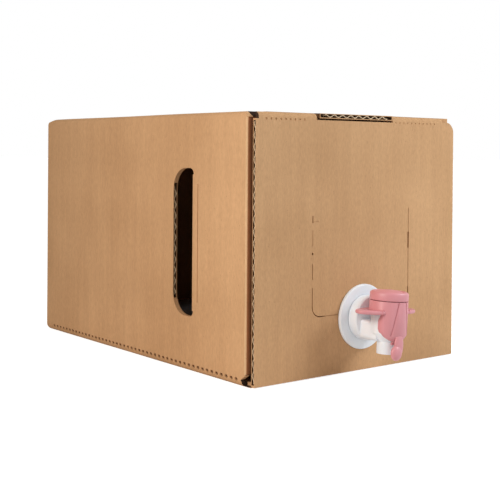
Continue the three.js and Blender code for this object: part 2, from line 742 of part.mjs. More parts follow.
// Slack film bag lying on the base, with its mouth drawn up to the gland.
function bagSolid() {
  const y0 = front + clamped_board + seat_gap + gland_tail + gland_weld_thickness + seat_gap;
  const y1 = back - 2 * board - bag_back_gap;
  const half = inner_half_width - bag_side_gap;
  const low = board + layer_gap;
  const rows = 18;
  const geometry = new THREE.BoxGeometry(2 * half, y1 - y0, 1, 14, rows, 3);
  geometry.translate(0, (y0 + y1) / 2, 0.5);
  const position = geometry.attributes.position;
  for (let i = 0; i < position.count; i += 1) {
    const x = position.getX(i);
    const y = position.getY(i);
    const level = position.getZ(i);
    const side = Math.min(1, Math.abs(x) / half);
    const run = (y - y0) / (y1 - y0);
    const mouth = Math.exp(-((y - y0) ** 2) / 500) * Math.exp(-((x - tap_x) ** 4) / (gland_weld_radius + 8) ** 4);
    const ridge = 1 - 0.32 * side ** 4 - 0.25 * run ** 3;
    const lumps = 2.2 * Math.sin(x / 17 + 1) * Math.sin(y / 23);
    const top = bag_height * ridge + lumps * (1 - side) + (bag_mouth_height - bag_height) * mouth;
    const waist = 1 - 0.05 * (2 * level - 1) ** 2;
    const rear = run > 0.9 ? -3 * (2 * level - 1) ** 2 * (run - 0.9) * 10 : 0;
    position.setXYZ(i, x * waist, y + rear, low + level * (top - low));
  }
  return solidOf(geometry);
}

const group = new THREE.Group();
group.add(meshOf('carton', cartonSolid(), kraft));
group.add(meshOf('bag', bagSolid(), film));

const tap_place = new THREE.Group();
tap_place.position.set(tap_x, front, tap_height);
tap_place.add(meshOf('gland', glandSolid(), natural_plastic));

// The tap sits in the gland turned a few degrees clockwise, seen from the front.
const tap = new THREE.Group();
tap.rotation.y = THREE.MathUtils.degToRad(tap_turn);
tap.add(meshOf('tap_body', tapBodySolid(), white_plastic));
tap.add(meshOf('tap_grip', tapGripSolid(), red_plastic));
tap.add(meshOf('cap_ring', capRingSolid(), red_plastic));
tap.add(meshOf('press_button', buttonSolid(), red_plastic));
tap.add(meshOf('valve_stem', stemSolid(), white_plastic));
tap.add(meshOf('valve_plug', plugSolid(), valve_rubber));
tap_place.add(tap);
group.add(tap_place);

export default group;
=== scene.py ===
# %% [markdown]
# # A bag in box carton with a press tap
#
# This lesson dresses a carton for liquids: brown corrugated board, folded into a box that lies on its long
# side, with a film bag inside and a tap clipped through the front. The frame gives every piece its place.
# Sizes are written in millimetres and turned into metres where an object is made, because a carton maker
# thinks in millimetres and Blender works in metres.

# %% Load the frame
import math
import bpy
from mathutils import Matrix, Vector


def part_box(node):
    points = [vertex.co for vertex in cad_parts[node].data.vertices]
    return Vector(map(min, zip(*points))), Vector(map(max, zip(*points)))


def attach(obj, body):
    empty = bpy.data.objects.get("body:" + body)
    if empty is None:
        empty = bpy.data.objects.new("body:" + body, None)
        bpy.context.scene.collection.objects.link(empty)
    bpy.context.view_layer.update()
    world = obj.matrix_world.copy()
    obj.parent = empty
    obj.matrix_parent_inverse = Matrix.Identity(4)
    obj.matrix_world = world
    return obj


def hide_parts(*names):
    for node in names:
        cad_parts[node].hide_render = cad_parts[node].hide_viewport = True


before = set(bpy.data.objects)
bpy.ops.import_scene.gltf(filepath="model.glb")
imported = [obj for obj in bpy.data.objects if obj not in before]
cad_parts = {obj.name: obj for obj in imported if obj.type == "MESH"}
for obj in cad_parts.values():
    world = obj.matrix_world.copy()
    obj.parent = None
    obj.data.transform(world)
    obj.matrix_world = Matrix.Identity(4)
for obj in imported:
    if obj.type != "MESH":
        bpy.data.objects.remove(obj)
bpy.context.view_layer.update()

print("frame pieces:", sorted(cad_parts))

# %% [markdown]
# ## The camera
#
# The photograph is taken from the front left corner, with the lens a little lower than the carton's top, so
# the top can't be seen. The uprights stay parallel, because the camera is held almost level and its frame is
# shifted down a little, as a view camera does: tilting it down would make the uprights lean together.

# %% Camera
mm = 0.001
camera_place = Vector((-418.3, -543.3, 126.7)) * mm
camera_turn = math.radians(38.28)
camera_dip = math.radians(0.35)
camera_roll = math.radians(0.44)
focal_length = 72.8
frame_shift = -0.18

bpy.ops.object.camera_add()
camera = bpy.context.object
camera.name = "photo_camera"
camera.matrix_world = (
    Matrix.Translation(camera_place)
    @ Matrix.Rotation(-camera_turn, 4, "Z")
    @ Matrix.Rotation(math.radians(90) - camera_dip, 4, "X")
    @ Matrix.Rotation(camera_roll, 4, "Z")
)
camera.data.sensor_width = 36
camera.data.lens = focal_length
camera.data.shift_y = frame_shift
camera.data.clip_start = 0.01
bpy.context.scene.camera = camera
print("camera looks from", [round(c, 3) for c in camera.location])

# %% [markdown]
# ## Helpers for building with operators
#
# Everything here starts as a block, a rod, a ball or a grid, and is cut, bevelled and bent as by hand.
# Operators act on whatever is selected, so each helper first deselects all, then picks faces or edges by
# where they lie.

# %% Selecting and placing
def only(piece):
    """Select one object and make it the active one."""
    bpy.ops.object.select_all(action="DESELECT")
    piece.select_set(True)
    bpy.context.view_layer.objects.active = piece


def settle(piece):
    """Put the object's place, turn and size into its mesh."""
    only(piece)
    bpy.ops.object.transform_apply(location=True, rotation=True, scale=True)
    return piece


def add_block(name, low, high):
    """A block between two corners, in millimetres."""
    low, high = Vector(low) * mm, Vector(high) * mm
    bpy.ops.object.select_all(action="DESELECT")
    bpy.ops.mesh.primitive_cube_add(size=1, location=(low + high) / 2)
    piece = bpy.context.object
    piece.name = name
    piece.scale = high - low
    return settle(piece)


def add_rod(name, radius, middle, length, axis, sides):
    """A round bar along one axis, in millimetres."""
    bpy.ops.object.select_all(action="DESELECT")
    bpy.ops.mesh.primitive_cylinder_add(vertices=sides, radius=radius * mm, depth=length * mm,
                                        location=Vector(middle) * mm)
    piece = bpy.context.object
    piece.name = name
    piece.rotation_euler = {"X": (0, math.pi / 2, 0), "Y": (math.pi / 2, 0, 0), "Z": (0, 0, 0)}[axis]
    return settle(piece)


def pick_faces(piece, test):
    """Enter edit mode with the faces selected whose middle and normal pass the test."""
    only(piece)
    bpy.context.tool_settings.mesh_select_mode = (False, False, True)
    mesh = piece.data
    mesh.vertices.foreach_set("select", [False] * len(mesh.vertices))
    mesh.edges.foreach_set("select", [False] * len(mesh.edges))
    for face in mesh.polygons:
        face.select = bool(test(face.center / mm, face.normal))
    bpy.ops.object.mode_set(mode="EDIT")


def pick_edges(piece, test):
    """Enter edit mode with the edges selected whose two ends pass the test."""
    only(piece)
    bpy.context.tool_settings.mesh_select_mode = (False, True, False)
    mesh = piece.data
    mesh.vertices.foreach_set("select", [False] * len(mesh.vertices))
    mesh.polygons.foreach_set("select", [False] * len(mesh.polygons))
    for edge in mesh.edges:
        a, b = (mesh.vertices[i].co / mm for i in edge.vertices)
        edge.select = bool(test(a, b))
    bpy.ops.object.mode_set(mode="EDIT")


def done():
    """Leave edit mode with nothing selected."""
    bpy.ops.mesh.select_all(action="DESELECT")
    bpy.ops.object.mode_set(mode="OBJECT")


def round_edges(piece, test, radius, steps=5):
    """Bevel the edges that pass the test into a round of this radius."""
    pick_edges(piece, test)
    bpy.ops.mesh.bevel(offset=radius * mm, segments=steps, affect="EDGES", clamp_overlap=True)
    done()


def near(value, target, reach=0.05):
    return abs(value - target) < reach


# %% [markdown]
# ## Cutting, repeating and smoothing
#
# Cutting with a Boolean modifier and applying it is the board maker's die: the cutter is the blade and is
# thrown away after the stroke.

# %% Cutting, repeating and smoothing
def apply_modifier(piece, kind, **settings):
    modifier = piece.modifiers.new(kind.lower(), kind)
    for key, value in settings.items():
        setattr(modifier, key, value)
    only(piece)
    bpy.ops.object.modifier_apply(modifier=modifier.name)


def cut(piece, cutter):
    """Take the cutter's shape out of the piece, then throw the cutter away."""
    apply_modifier(piece, "BOOLEAN", operation="DIFFERENCE", solver="EXACT", object=cutter)
    bpy.data.objects.remove(cutter, do_unlink=True)


def repeat(piece, step, count):
    """Copy a small shape in a row, step millimetres apart, into one mesh."""
    apply_modifier(piece, "ARRAY", count=count, use_relative_offset=False, use_constant_offset=True,
                   constant_offset_displace=Vector(step) * mm)
    return piece


def smooth(piece, angle):
    """Shade smoothly across edges that bend by less than this angle, in degrees."""
    only(piece)
    bpy.ops.object.shade_smooth_by_angle(angle=math.radians(angle))


# %% [markdown]
# ## Sizes of the board and the folds
#
# The board is B flute: two liners with a wavy medium between them, 2.8 mm thick in all, with a wave every
# 6.5 mm. The flutes run from front to back in the four walls, so the waves show at every edge that is cut
# across that direction: the free edge of the front flap, the hand holes and the lock tongue.

# %% Sizes
carton_low, carton_high = (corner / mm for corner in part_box("carton"))
half_width = carton_high.x
height = carton_high.z
front = carton_low.y
back = carton_high.y
board = 2.8
liner = 0.42
fold_radius = 4.0
layer_gap = 0.3
hair = 0.05
inner_layer = front + board + layer_gap
flute_pitch = 6.5
flute_depth = 4.5
gland_low, gland_high = (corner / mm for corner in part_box("gland"))
tap_x = (gland_low.x + gland_high.x) / 2
tap_height = (gland_low.z + gland_high.z) / 2
print(f"carton {2 * half_width:.0f} x {back - front:.0f} x {height:.0f} mm")
print(f"tap at x {tap_x:.1f}, z {tap_height:.1f}")

# %% [markdown]
# ## The four walls
#
# On the real carton one sheet is creased and folded round into a tube, and a crease in corrugated board
# gives a soft round corner, not a sharp one. A block with its two ends taken away, its long edges bevelled
# and the board's thickness added inwards by Solidify is that tube. Board is never quite flat, so a
# very weak Displace modifier with a cloudy texture lets the panels wander by a few tenths of a millimetre.

# %% Walls
hinge_reach = 2.6
back_fold = 4.0
panel_cuts = 9
fold_steps = 6

walls = add_block("carton_walls", (-half_width, front, 0), (half_width, back - back_fold, height))
pick_faces(walls, lambda middle, normal: abs(normal.y) > 0.9)
bpy.ops.mesh.delete(type="FACE")
bpy.ops.mesh.select_all(action="SELECT")
bpy.ops.mesh.subdivide(number_cuts=panel_cuts)
done()


def on_long_corner(point):
    return near(abs(point.x), half_width) and (near(point.z, 0) or near(point.z, height))


round_edges(walls, lambda a, b: on_long_corner(a) and on_long_corner(b) and near(a.z, b.z),
            fold_radius, fold_steps)


def wander(piece, strength=0.35, scale=0.075):
    """Let flat board wander a little, as real panels do."""
    clouds = bpy.data.textures.get("board_wander") or bpy.data.textures.new("board_wander", "CLOUDS")
    clouds.noise_scale = scale
    clouds.noise_depth = 1
    apply_modifier(piece, "DISPLACE", texture=clouds, strength=strength * mm, mid_level=0.5,
                   direction="NORMAL", texture_coords="LOCAL")


wander(walls)
apply_modifier(walls, "SOLIDIFY", thickness=board * mm, offset=-1, use_even_offset=True)
print("walls:", len(walls.data.polygons), "faces")

# %% [markdown]
# ## Trimming the front end of the tube
#
# The die cuts the wall panels back by one board at the front, because the front flap closes over them. Only
# the lock tongue of the top wall reaches the front face. At the right the walls make room for the flap's
# hinge, and above the hinge a rounded piece is taken out of the corner, beside the flap's shoulder.

# %% Front trim
tongue_left, tongue_right = -35.3, 25.4
corner_round = 9.5
corner_drop = 9.0
outside = 4
overcut = 1
hinge_overcut = 1.2
below_top = height - board - overcut

cut(walls, add_block("trim", (-half_width - outside, front - outside, -outside),
                     (half_width - hinge_reach - overcut, inner_layer, height - board - hair)))
cut(walls, add_block("trim", (half_width - hinge_reach - hinge_overcut, front - outside, -outside),
                     (half_width + outside, front + hinge_reach, height + outside)))
cut(walls, add_block("trim", (-half_width - outside, front - outside, below_top),
                     (tongue_left, inner_layer, height + outside)))
cut(walls, add_block("trim", (tongue_right, front - outside, below_top),
                     (half_width, inner_layer, height + outside)))
gap = add_block("corner_gap", (half_width - fold_radius, front - outside, height - corner_drop),
                (half_width + outside, inner_layer + corner_round, height + outside))
cut(gap, add_rod("corner_round", corner_round,
                 (half_width, inner_layer + corner_round + 0.4, height - corner_drop + 0.2), 30, "X", 64))
cut(walls, gap)
print("front end trimmed")

# %% [markdown]
# ## Gaps at the front left corner
#
# Beside the free edge of the front flap the left wall ends early, to make room for the fold of the side dust
# flap. The die slants the top corner of this wall, opens a gap behind the end of the flap's top fold, and
# nicks the lower corner. On the folded carton these are the small dark gaps.

# %% Corner gaps
gap_right = -70.0
gap_back = front + 8.6
side_recess = 0.8
side_fold = 1.4
side_start = inner_layer + side_recess + side_fold
side_low, side_high = 7.2, height - 3.2
slant_width = 3.5
slant_place = (0, front + 6.8, height - 0.7)
nick_floor, nick_top = 0.8, 4.1
nick_back = front + 8.0
nick_right = -half_width + board + 1.6
corner_slope = math.atan2(3.5, 5.2)
tongue_end_width, tongue_end_depth = 2, 1.2


def slanted_block(name, low, high, slope, start):
    """A block laid at a slope, seen from the side, with its own origin at the start point."""
    block = add_block(name, low, high)
    block.rotation_euler = (slope, 0, 0)
    block.location = Vector(start) * mm
    return settle(block)


def corner_slant():
    """The slanting stroke of the die at the top front corner of the left wall."""
    return slanted_block("corner_slant", (-half_width - outside, -16, 0), (-half_width + slant_width, 8, 9),
                         corner_slope, slant_place)


cut(walls, corner_slant())
cut(walls, add_block("top_gap", (-half_width + 3.4, front - outside, height - board - 0.3),
                     (gap_right, gap_back, height + outside)))
cut(walls, add_block("fold_trim", (-half_width - outside, front - outside, side_low),
                     (-half_width + board + 0.4, side_start, side_high)))
cut(walls, add_block("nick", (-half_width - outside, front - outside, nick_floor),
                     (nick_right, nick_back - 0.6, nick_top)))
cut(walls, slanted_block("nick_slant", (-half_width - outside, -14, -3), (nick_right, 0, 0),
                         -corner_slope, (0, nick_back, nick_top)))
cut(walls, add_block("tongue_end", (tongue_left - 8, front - 6, height - 8),
                     (tongue_left + tongue_end_width, front + tongue_end_depth, height + 2)))
print("corner gaps cut")

# %% [markdown]
# ## Hand holes
#
# Each long wall has an upright hand hole near the front. Three sides of it are cut and the fourth is a
# crease, so the waste stays on as a tongue that the hand pushes inwards: it pads the edge that the fingers
# pull on. The hole is a block with rounded corners, larger at the cut side, pushed through the wall.

# %% Hand holes
hole_front = front + 53.3
hole_back = front + 74.0
hole_crease = front + 49.1
hole_low, hole_high = 32.1, 118.2
hole_radius = 12.4
hole_hinge_radius = 3.6
hole_margin = 9.0
crease_depth = 0.28
crease_half_width = 0.3

for side in (-1, 1):
    x_near, x_far = sorted((side * (half_width - board - 3), side * (half_width + 3)))
    hole = add_block("hole", (x_near, hole_front, hole_low), (x_far, hole_back, hole_high))
    round_edges(hole, lambda a, b: near(a.y, hole_back) and near(b.y, hole_back) and abs(a.x - b.x) > 1,
                hole_radius, 10)
    round_edges(hole, lambda a, b: near(a.y, hole_front) and near(b.y, hole_front) and abs(a.x - b.x) > 1,
                hole_hinge_radius, 8)
    cut(walls, hole)
    x_near, x_far = sorted((side * (half_width - crease_depth), side * (half_width + 2)))
    cut(walls, add_block("hole_crease", (x_near, hole_crease - crease_half_width, hole_low + hole_margin),
                         (x_far, hole_crease + crease_half_width, hole_high - hole_margin)))
print("hand holes cut")

# %% [markdown]
# ## Tongues of the hand holes
#
# A tongue starts as a sliver at the crease. Spinning its end face a quarter turn makes the soft bend, and
# extruding it makes the flat part. The free end keeps the large corners of the hole it came out of.

# %% Hand hole tongues
bend_radius = 3.2
tongue_low, tongue_high = hole_low + hole_hinge_radius, hole_high - hole_hinge_radius
tongue_reach = 16.0
tongue_corner = 11.0
hand_tongues = []
for side in (-1, 1):
    x_near, x_far = sorted((side * half_width, side * (half_width - board)))
    tongue = add_block("left_hand_tongue" if side < 0 else "right_hand_tongue",
                       (x_near, hole_front, tongue_low), (x_far, hole_front + hair, tongue_high))
    pick_faces(tongue, lambda middle, normal: normal.y > 0.9)
    bend_middle = Vector((side * (half_width - bend_radius), hole_front + hair, 0)) * mm
    bpy.ops.mesh.spin(steps=8, angle=-side * math.radians(90), center=bend_middle, axis=(0, 0, 1))
    bpy.ops.mesh.extrude_region_move(TRANSFORM_OT_translate={"value": (-side * tongue_reach * mm, 0, 0)})
    done()
    free_end = side * (half_width - bend_radius - tongue_reach)
    round_edges(tongue, lambda a, b: near(a.x, free_end) and near(b.x, free_end) and near(a.z, b.z),
                tongue_corner, 8)
    hand_tongues.append(tongue)
    print(tongue.name, "reaches to x", round(free_end, 1))

# %% [markdown]
# ## The front flap
#
# The outer flap closes the whole front. It is hinged on the right edge, so it starts as a plate whose right
# end face is spun into the hinge. Its top edge is a second fold, rounded by a bevel.

# %% Front flap plate
flap_left = -half_width + 3.2
flap_low = 0.6
flap_high = height - layer_gap
hinge_line = half_width - hinge_reach
top_fold_radius = 3.2
flap = add_block("carton_front_flap", (flap_left, front, flap_low), (hinge_line, front + board, flap_high))
pick_faces(flap, lambda middle, normal: normal.x > 0.9)
bpy.ops.mesh.spin(steps=8, angle=math.radians(-90),
                  center=Vector((hinge_line, front + hinge_reach, 0)) * mm, axis=(0, 0, 1))
done()


def on_top_fold(point):
    return near(point.z, flap_high) and near(point.y, front)


round_edges(flap, lambda a, b: on_top_fold(a) and on_top_fold(b) and abs(a.x - b.x) > 50,
            top_fold_radius, fold_steps)
print("front flap folded")

# %% [markdown]
# ## Shoulder and tuck flap
#
# At the top right the die steps the flap down below the top wall and rounds its shoulder like a quarter of
# an ellipse. At the top left it cuts the end of the top fold short. The tuck flap goes on behind the fold,
# under the top wall. The lock tongue drops into a slot in the top fold.

# %% Shoulder, tuck flap and slot
top_crease = 146.0
top_fold_left = -77.6
shoulder_right = 70.5
shoulder_width = 7.7
shoulder_drop = 12.4
shoulder_top = height - board
shoulder_back = front + 12
cut(flap, add_block("step", (shoulder_right, front - outside, shoulder_top),
                    (half_width + outside, shoulder_back, height + outside)))
shoulder = add_block("shoulder",
                     (half_width - shoulder_width, front - outside, shoulder_top - shoulder_drop),
                     (half_width + outside, shoulder_back, height + outside))
shoulder_curve = add_rod("shoulder_curve", 1, (0, 0, 0), 60, "Y", 96)
shoulder_curve.scale = (shoulder_width, 1, shoulder_drop)
shoulder_curve.location = Vector((half_width - shoulder_width, front, shoulder_top - shoulder_drop)) * mm
cut(shoulder, settle(shoulder_curve))
cut(flap, shoulder)
cut(flap, add_block("top_fold_end", (-half_width - 1, front - outside, top_crease - 0.1),
                    (top_fold_left, inner_layer, height)))

tuck_left = -70.0
tuck_top = height - board - layer_gap
tuck_back = front + board + 46
tuck_corner = 10
tuck = add_block("carton_tuck_flap", (tuck_left, front + board - hair, tuck_top - board),
                 (shoulder_right, tuck_back, tuck_top))
round_edges(tuck, lambda a, b: near(a.y, tuck_back) and near(b.y, tuck_back) and abs(a.z - b.z) > 1,
            tuck_corner, 8)
gland_neck = 15.8
slot_clearance = 0.3
slot_low = height - board - 1.1
cut(flap, add_block("slot", (tongue_left - slot_clearance, front - outside, slot_low),
                    (tongue_right + slot_clearance, inner_layer, height + outside)))
cut(tuck, add_block("slot_behind", (tongue_left + 3, front, tuck_top - board - 1),
                    (tongue_right - 3, front + board + 5, tuck_top + 1)))
cut(flap, add_rod("gland_hole", gland_neck, (tap_x, front, tap_height), 40, "Y", 96))
print("slot and gland hole cut")

# %% [markdown]
# ## The perforated window
#
# A perforated line is a row of short cuts with bridges between them, which lets a hand pull the tap out.
# Each cut is a thin block: shallow where only the liner is scored, and deeper than the board where the
# photograph shows it gone right through. Each lower corner is a quarter of a thin ring.

# %% Window lines
window_left, window_right = -38.0, 40.0
window_low, window_high = 34.7, 92.0
window_round = 6.0
corner_low = window_low + window_round
corner_end = window_left + window_round
bottom_break = window_left + window_round + 4
bottom_end = tap_x - gland_neck + 1
through = board + 1
faint = 0.25


def score(x0, x1, z0, z1, depth):
    return add_block("score", (x0, front - 1, z0), (x1, front + depth, z1))


def upright_score(x, z0, z1, depth, width):
    return score(x - width / 2, x + width / 2, z0, z1, depth)


scores = [
    upright_score(window_left, 88.0, window_high, through, 0.7),
    upright_score(window_left, 75.0, 84.0, faint, 0.35),
    upright_score(window_left, 69.9, 71.3, through, 1.1),
    upright_score(window_left, 55.9, 64.9, through, 0.5),
    upright_score(window_left, corner_low, 51.4, through, 0.5),
    score(window_left, window_left + 4.5, 88.6, 88.95, faint),
    score(corner_end, bottom_break, window_low - 0.3, window_low + 0.3, through),
    score(bottom_break, bottom_end, window_low - 0.2, window_low + 0.2, 0.4),
    upright_score(window_right, corner_low, window_high + 2.7, 0.8, 0.4),
    upright_score(window_right, 80.5, 94.0, through, 0.45),
    upright_score(window_right, 70.2, 79.9, through, 1.3),
    upright_score(window_right, 49.5, 69.0, through, 0.5),
    upright_score(window_right, 41.5, 46.6, through, 1.0),
]
for line in scores:
    cut(flap, line)

score_width, score_depth = 0.6, 1.4
clear = 20
for side_x, inwards in ((window_left, 1), (window_right, -1)):
    centre_x = side_x + inwards * window_round
    ring = add_rod("corner_ring", window_round + score_width / 2, (centre_x, front, corner_low),
                   2 * score_depth, "Y", 64)
    cut(ring, add_rod("core", window_round - score_width / 2, (centre_x, front, corner_low), clear, "Y", 64))
    cut(ring, add_block("upper", (centre_x - clear, front - clear, corner_low),
                        (centre_x + clear, front + clear, corner_low + clear)))
    x_near, x_far = sorted((centre_x, centre_x + inwards * clear))
    cut(ring, add_block("inner", (x_near, front - clear, corner_low - clear),
                        (x_far, front + clear, corner_low + 1)))
    cut(flap, ring)
print("window scored with", len(scores), "lines and two corners")

# %% [markdown]
# ## Dotted creases
#
# Board folds where it has been dented. A row of dents is one small ball, repeated and cut out of the board
# in one stroke. Such rows run along the flap's top fold, down its hinge and along both base folds.

# %% Dotted creases
dot_pitch = 3.45
left_dot, right_dot, hinge_dot, base_dot = 0.7, 0.6, 1.0, 1.5
left_dots_start = flap_left + 7
right_dots_start = tongue_right + 3
hinge_dots_length = 131
base_notch_pitch = 4.5
base_notch_height = 3.9


def dent_row(radius, start, step, count, flat=1.0):
    """A row of small round dents along a crease."""
    bpy.ops.object.select_all(action="DESELECT")
    bpy.ops.mesh.primitive_uv_sphere_add(segments=10, ring_count=6, radius=radius * mm,
                                         location=Vector(start) * mm)
    dent = bpy.context.object
    dent.name = "dent"
    dent.scale = (1, 1, flat)
    return repeat(settle(dent), step, count)


left_dots = int((tongue_left - 3 - flap_left - 7) / dot_pitch)
right_dots = int((shoulder_right - tongue_right - 4) / dot_pitch)
cut(flap, dent_row(left_dot, (left_dots_start, front - 0.15, top_crease), (dot_pitch, 0, 0), left_dots))
cut(flap, dent_row(right_dot, (right_dots_start, front - 0.2, top_crease), (dot_pitch, 0, 0), right_dots))
hinge_dots = int(hinge_dots_length / dot_pitch)
dent_out = (hinge_reach + 0.5) * math.sqrt(0.5)
hinge_middle = Vector((half_width - hinge_reach, front + hinge_reach, 3.5))
hinge_start = hinge_middle + Vector((dent_out, -dent_out, 0))
cut(flap, dent_row(hinge_dot, hinge_start, (0, 0, dot_pitch), hinge_dots, 1.3))
base_notches = int((back - back_fold - inner_layer - 13) / base_notch_pitch)
for side in (-1, 1):
    notch_start = (side * (half_width + 0.35), inner_layer + 9, base_notch_height)
    cut(walls, dent_row(base_dot, notch_start, (0, base_notch_pitch, 0), base_notches, 0.75))
print("dots:", left_dots + right_dots, "hinge dots:", hinge_dots, "base notches:", 2 * base_notches)

# %% [markdown]
# ## The side flap
#
# In the gap beside the free edge of the front flap the fold of the side dust flap shows as a dark strip; its
# shade is painted, with a painted highlight along the fold. It starts as a sliver of board, crushed thin by
# the crease, which is spun round the fold and then extruded.

# %% Side flap
side_slant = 14.0
side_flap_reach = 30.0
creased_board = 1.3
side_flap = add_block("carton_side_flap", (-half_width, side_start, side_low),
                      (-half_width + creased_board, side_start + hair, side_high))
pick_faces(side_flap, lambda middle, normal: normal.y < -0.9)
bpy.ops.mesh.spin(steps=8, angle=math.radians(-90 - side_slant),
                  center=Vector((-half_width + side_fold, side_start, 0)) * mm, axis=(0, 0, 1))
slant = math.radians(side_slant)
bpy.ops.mesh.extrude_region_move(TRANSFORM_OT_translate={
    "value": Vector((math.cos(slant), math.sin(slant), 0)) * side_flap_reach * mm})
done()
cut(side_flap, corner_slant())
print("side flap made")

# %% [markdown]
# ## The base flap
#
# The base flap stands behind the lower half of the front, a plate with one rounded corner and a round notch
# that is open at the top. The gland's neck sits in the notch.

# %% Base flap
base_flap_left, base_flap_right = -42, 78
base_flap_top = 62.0
base_flap_corner = 12
base_flap = add_block("carton_base_flap", (base_flap_left, inner_layer, board + hair),
                      (base_flap_right, inner_layer + board, base_flap_top))


def on_base_flap_corner(point):
    return near(point.x, base_flap_right) and near(point.z, base_flap_top)


round_edges(base_flap, lambda a, b: on_base_flap_corner(a) and on_base_flap_corner(b), base_flap_corner, 6)
cut(base_flap, add_rod("notch", gland_neck, (tap_x, front, tap_height), 60, "Y", 96))
cut(base_flap, add_block("notch_mouth", (tap_x - gland_neck, front - 10, tap_height),
                         (tap_x + gland_neck, front + 30, base_flap_top + 10)))
print("base flap made")

# %% [markdown]
# ## Cut edges with flutes
#
# Looking into a cut edge of corrugated board one sees two thin liners and the wavy medium between them. A
# narrow slot is cut into the edge, which leaves the liners, and a waved strip is set into the slot. The
# strip is a grid whose crests and troughs are moved up and down, then rounded by Subdivision Surface and
# thickened by Solidify: far fewer faces than cutting each flute, and the true shape.

# %% Flute strips
steps_per_wave = 4
medium = 0.36
medium_clearance = 0.12
rounding_loss = 1.22
set_in = 0.15


def flute_strip(name, start, length, run, across, inwards):
    """A waved strip of medium: it runs along an edge, waves across the board and goes inwards."""
    waves = int(length / flute_pitch)
    columns = waves * steps_per_wave
    run_length = waves * flute_pitch
    bpy.ops.object.select_all(action="DESELECT")
    bpy.ops.mesh.primitive_grid_add(x_subdivisions=columns, y_subdivisions=1, size=1,
                                    location=(0.5, 0.5, 0))
    strip = bpy.context.object
    strip.name = name
    settle(strip)
    strip.scale = (run_length * mm, flute_depth * mm, 1)
    settle(strip)
    step = run_length / columns
    amplitude = (board / 2 - liner - medium_clearance) * rounding_loss
    for phase, move in ((1, amplitude), (3, -amplitude)):
        only(strip)
        bpy.context.tool_settings.mesh_select_mode = (True, False, False)
        for vertex in strip.data.vertices:
            vertex.select = round(vertex.co.x / mm / step) % steps_per_wave == phase
        for edge in strip.data.edges:
            edge.select = False
        for face in strip.data.polygons:
            face.select = False
        bpy.ops.object.mode_set(mode="EDIT")
        bpy.ops.transform.translate(value=(0, 0, move * mm))
        done()
    apply_modifier(strip, "SUBSURF", levels=2, render_levels=2)
    apply_modifier(strip, "SOLIDIFY", thickness=medium * mm, offset=0)
    middle = Vector(start) + Vector(run) * (length - run_length) / 2
    place = Matrix((Vector(run), Vector(inwards), Vector(across))).transposed().to_4x4()
    strip.matrix_world = Matrix.Translation(middle * mm) @ place
    settle(strip)
    if place.determinant() < 0:
        pick_faces(strip, lambda middle, normal: True)
        bpy.ops.mesh.flip_normals()
        done()
    smooth(strip, 60)
    return strip


# %% [markdown]
# ## Laying the strips
#
# They go into the flap's free edge, the hand holes' back edges and the lock tongue's front edge.

# %% Strips in the cut edges
flutes = []
edge_low, edge_high = flap_low + 1.2, top_crease - 1.0
cut(flap, add_block("edge_slot", (flap_left - 1, front + liner, edge_low),
                    (flap_left + flute_depth, front + board - liner, edge_high)))
flutes.append(flute_strip("front_flap_flutes", (flap_left + set_in, front + board / 2, edge_low),
                          edge_high - edge_low, (0, 0, 1), (0, -1, 0), (1, 0, 0)))

hole_edge_low, hole_edge_high = hole_low + hole_margin, hole_high - hole_margin
for side, name in ((-1, "left_hand_hole_flutes"), (1, "right_hand_hole_flutes")):
    x_near, x_far = sorted((side * (half_width - liner), side * (half_width - board + liner)))
    cut(walls, add_block("edge_slot", (x_near, hole_back - 1.6, hole_edge_low),
                         (x_far, hole_back + flute_depth, hole_edge_high)))
    flutes.append(flute_strip(name, (side * (half_width - board / 2), hole_back + set_in, hole_edge_low),
                              hole_edge_high - hole_edge_low, (0, 0, 1), (-side, 0, 0), (0, 1, 0)))

tongue_edge_left, tongue_edge_right = tongue_left + 2.4, tongue_right - 0.6
cut(walls, add_block("edge_slot", (tongue_edge_left, front - 1, height - board + liner),
                     (tongue_edge_right, front + flute_depth, height - liner)))
flutes.append(flute_strip("lock_tongue_flutes", (tongue_edge_left, front + set_in, height - board / 2),
                          tongue_edge_right - tongue_edge_left, (1, 0, 0), (0, 0, 1), (0, 1, 0)))
print("flute strips:", [strip.name for strip in flutes])

# %% [markdown]
# ## The back
#
# The back is a crash-lock bottom: two broad panels from the top and base walls meet in a line that steps
# across the middle, and glued flaps behind them pull it flat when the carton is opened out. From outside it
# is one plate with rounded edges and a stepped slit. The top edge slopes down a little, because the top wall
# is drawn down by the glued flaps.

# %% Back panels
middle_height = height / 2
step_rise = 9.0
slit = 0.5
slit_back = back + 2
third = half_width / 3
slope_drop, slope_run = 3, 10

back_panel = add_block("carton_back", (-half_width, back - back_fold, 0), (half_width, back, height))
round_edges(back_panel, lambda a, b: abs(a.y - b.y) > 1, fold_radius, fold_steps)
round_edges(back_panel, lambda a, b: near(a.y, back) and near(b.y, back), back_fold - 0.2, fold_steps)
cut(back_panel, add_block("slit", (-half_width - 2, back - board, middle_height - step_rise - slit / 2),
                          (-third, slit_back, middle_height - step_rise + slit / 2)))
cut(back_panel, add_block("slit", (third, back - board, middle_height + step_rise - slit / 2),
                          (half_width + 2, slit_back, middle_height + step_rise + slit / 2)))
slanted_slit = add_block("slit", (-math.hypot(third, step_rise), back - board, -slit / 2),
                         (math.hypot(third, step_rise), slit_back, slit / 2))
slanted_slit.rotation_euler = (0, -math.atan2(2 * step_rise, 2 * third), 0)
slanted_slit.location = (0, 0, middle_height * mm)
cut(back_panel, settle(slanted_slit))
for piece in (walls, back_panel):
    cut(piece, slanted_block("back_slope", (-half_width - outside, -2, 0), (half_width + outside, 14, 6),
                             -math.atan2(slope_drop, slope_run), (0, back - slope_run, height)))
back_laps = add_block("carton_back_laps", (-half_width + board + 0.3, back - back_fold - board, board + 1),
                      (half_width - board - 0.3, back - back_fold - hair, height - board - 1))
print("back made")

